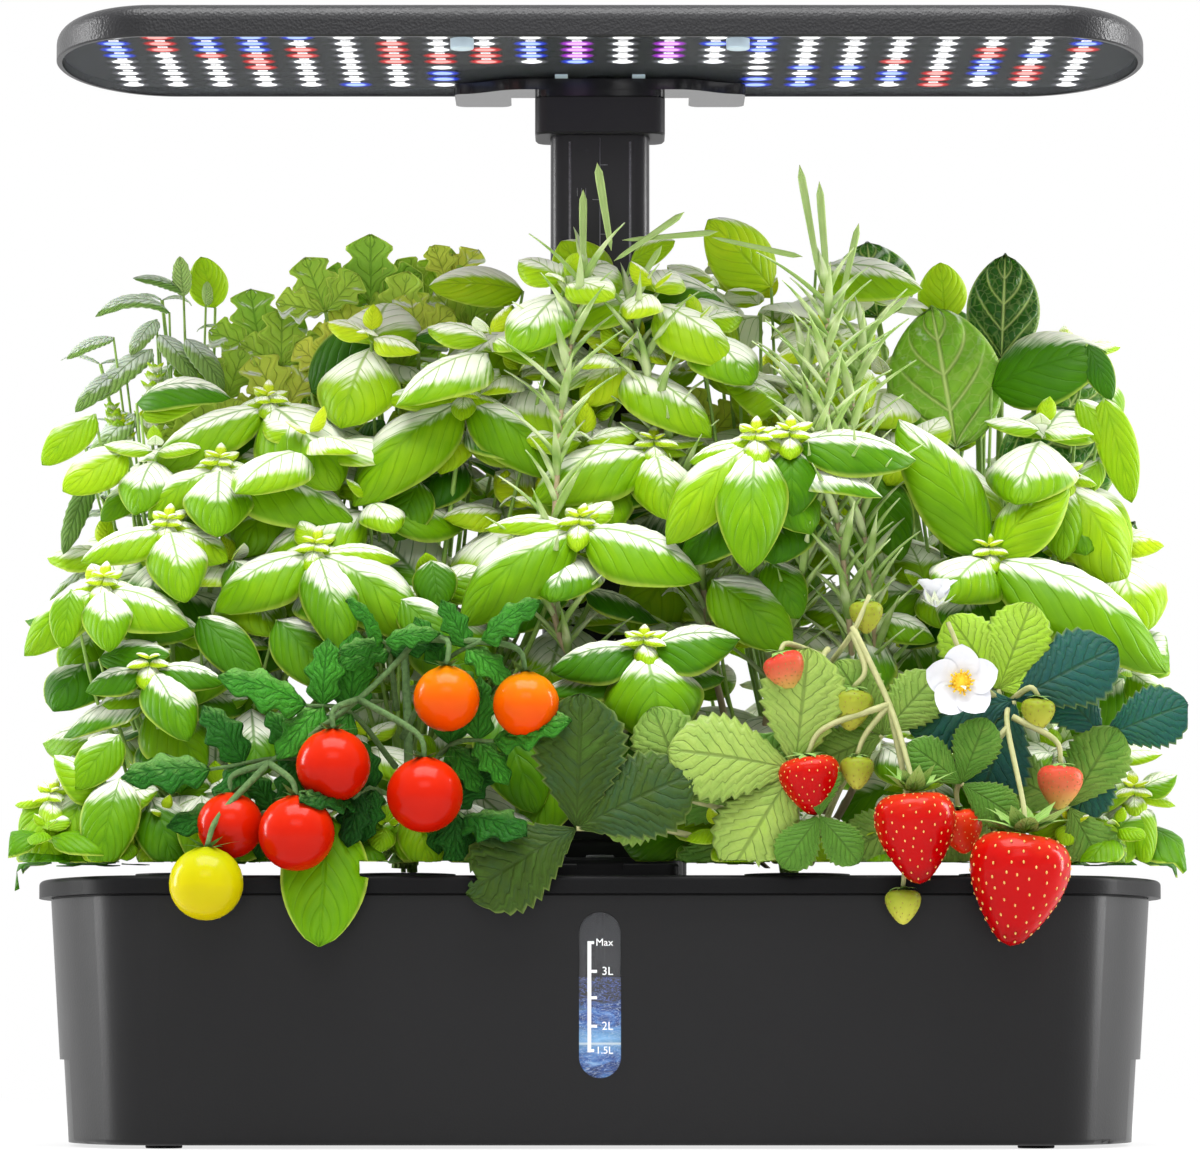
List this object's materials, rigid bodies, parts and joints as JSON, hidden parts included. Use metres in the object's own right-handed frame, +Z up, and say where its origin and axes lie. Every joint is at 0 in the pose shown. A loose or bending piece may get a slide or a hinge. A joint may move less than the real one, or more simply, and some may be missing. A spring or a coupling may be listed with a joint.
{
  "type": "countertop hydroponic garden",
  "caption": "Countertop hydroponic garden: water tank with level window, lid with planted baskets, hanging pump, and a wide LED grow lamp on a height-adjustable column",
  "frame": {"origin": "on the floor under the middle of the water tank; the tank's underside is 1.2 mm above it, on the feet", "axes": "+X along the garden to the right as seen from the front, -Y towards the front with the level window, +Z up"},
  "size_m": [0.3952, 0.2032, 0.396],
  "materials": {
    "tank_plastic": "fine moulded grain, satin",
    "deck_plastic": "fine moulded grain, satin",
    "window_clear": "clear",
    "foot_rubber": "matte",
    "column_plastic": "satin, fine upright sheen",
    "panel_plastic": "satin",
    "button_plastic": "satin",
    "inner_plastic": "matte",
    "pump_plastic": "satin",
    "impeller_plastic": "satin",
    "lead_sheath": "satin",
    "board_green": "solder mask",
    "jack_plastic": "glossy",
    "basket_plastic": "satin",
    "lamp_plastic": "grained, satin",
    "bracket_plastic": "glossy",
    "lens_clear": "clear, polished",
    "post_frosted": "frosted",
    "led_mask": "black solder mask",
    "led_phosphor": "bright",
    "screw_steel": "plated",
    "leaf": "waxy leaf, living foliage",
    "fruit_red": "ripe skin"
  },
  "bodies": {
    "tank": {"tank": "tank_plastic", "level_window": "window_clear", "tank_feet": "foot_rubber"},
    "deck": {"deck": "deck_plastic", "column_tube": "column_plastic", "column_collar": "column_plastic", "column_pedestal": "panel_plastic", "power_inlet": "jack_plastic", "control_panel": "panel_plastic", "control_board": "board_green", "pump_housing": "pump_plastic", "pump_cover": "pump_plastic", "pump_hanger": "inner_plastic", "pump_lead": "lead_sheath"},
    "lamp": {"inner_column": "column_plastic", "column_glides": "inner_plastic", "column_cap": "column_plastic", "lamp_bracket": "bracket_plastic", "bracket_screws": "screw_steel", "bracket_latches": "post_frosted", "lamp_shell": "lamp_plastic", "led_board": "led_mask", "led_chips": "led_phosphor", "lamp_lens": "lens_clear", "lens_posts": "post_frosted", "lamp_lead": "lead_sheath"},
    "flap": {"inlet_flap": "panel_plastic"},
    "light_button": {"light_button": "button_plastic"},
    "power_button": {"power_button": "button_plastic"},
    "pump_button": {"pump_button": "button_plastic"},
    "impeller": {"pump_impeller": "impeller_plastic"},
    "pod_01": {"basket_01": "basket_plastic", "basil_front_left": "leaf"},
    "pod_02": {"basket_02": "basket_plastic", "tomato_plant": "leaf", "tomato_truss": "fruit_red"},
    "pod_03": {"basket_03": "basket_plastic", "strawberry_plant_left": "leaf", "strawberry_truss_left": "fruit_red"},
    "pod_04": {"basket_04": "basket_plastic", "strawberry_plant_right": "leaf", "strawberry_truss_right": "fruit_red"},
    "pod_05": {"basket_05": "basket_plastic", "basil_left": "leaf"},
    "pod_06": {"basket_06": "basket_plastic", "basil_centre": "leaf"},
    "pod_07": {"basket_07": "basket_plastic", "rosemary": "leaf"},
    "pod_08": {"basket_08": "basket_plastic", "basil_right": "leaf"},
    "pod_09": {"basket_09": "basket_plastic", "mint": "leaf"},
    "pod_10": {"basket_10": "basket_plastic", "parsley": "leaf"},
    "pod_11": {"basket_11": "basket_plastic", "basil_rear": "leaf"},
    "pod_12": {"basket_12": "basket_plastic", "spinach": "leaf"}
  },
  "joints": [
    {"name": "deck_lift", "type": "slide", "parent": "tank", "child": "deck", "axis": [0, 0, 1], "range_m": [0, 0.1]},
    {"name": "lamp_height", "type": "slide", "parent": "deck", "child": "lamp", "axis": [0, 0, 1], "range_m": [-0.11, 0], "deforming": ["lamp_lead", "basil_front_left", "tomato_plant", "strawberry_plant_left", "strawberry_plant_right", "basil_left", "basil_centre", "rosemary", "basil_right", "mint", "parsley", "basil_rear", "spinach"]},
    {"name": "flap_hinge", "type": "hinge", "parent": "deck", "child": "flap", "pos_m": [0, -0.0395, 0.0957], "axis": [-1, 0, 0], "range_deg": [0, 100]},
    {"name": "impeller_spin", "type": "hinge", "parent": "deck", "child": "impeller", "pos_m": [0, -0.007, 0.022], "axis": [0, 1, 0], "continuous": true},
    {"name": "light_button_press", "type": "slide", "parent": "deck", "child": "light_button", "axis": [0, 0, -1], "range_m": [0, 0.0006], "stiffness_N_per_m": 600},
    {"name": "power_button_press", "type": "slide", "parent": "deck", "child": "power_button", "axis": [0, 0, -1], "range_m": [0, 0.0006], "stiffness_N_per_m": 600},
    {"name": "pump_button_press", "type": "slide", "parent": "deck", "child": "pump_button", "axis": [0, 0, -1], "range_m": [0, 0.0006], "stiffness_N_per_m": 600},
    {"name": "pod_01_lift", "type": "slide", "parent": "deck", "child": "pod_01", "axis": [0, 0, 1], "range_m": [0, 0.035]},
    {"name": "pod_02_lift", "type": "slide", "parent": "deck", "child": "pod_02", "axis": [0, 0, 1], "range_m": [0, 0.035]},
    {"name": "pod_03_lift", "type": "slide", "parent": "deck", "child": "pod_03", "axis": [0, 0, 1], "range_m": [0, 0.035]},
    {"name": "pod_04_lift", "type": "slide", "parent": "deck", "child": "pod_04", "axis": [0, 0, 1], "range_m": [0, 0.035]},
    {"name": "pod_05_lift", "type": "slide", "parent": "deck", "child": "pod_05", "axis": [0, 0, 1], "range_m": [0, 0.035]},
    {"name": "pod_06_lift", "type": "slide", "parent": "deck", "child": "pod_06", "axis": [0, 0, 1], "range_m": [0, 0.035]},
    {"name": "pod_07_lift", "type": "slide", "parent": "deck", "child": "pod_07", "axis": [0, 0, 1], "range_m": [0, 0.035]},
    {"name": "pod_08_lift", "type": "slide", "parent": "deck", "child": "pod_08", "axis": [0, 0, 1], "range_m": [0, 0.035]},
    {"name": "pod_09_lift", "type": "slide", "parent": "deck", "child": "pod_09", "axis": [0, 0, 1], "range_m": [0, 0.035]},
    {"name": "pod_10_lift", "type": "slide", "parent": "deck", "child": "pod_10", "axis": [0, 0, 1], "range_m": [0, 0.035]},
    {"name": "pod_11_lift", "type": "slide", "parent": "deck", "child": "pod_11", "axis": [0, 0, 1], "range_m": [0, 0.035]},
    {"name": "pod_12_lift", "type": "slide", "parent": "deck", "child": "pod_12", "axis": [0, 0, 1], "range_m": [0, 0.035]}
  ]
}
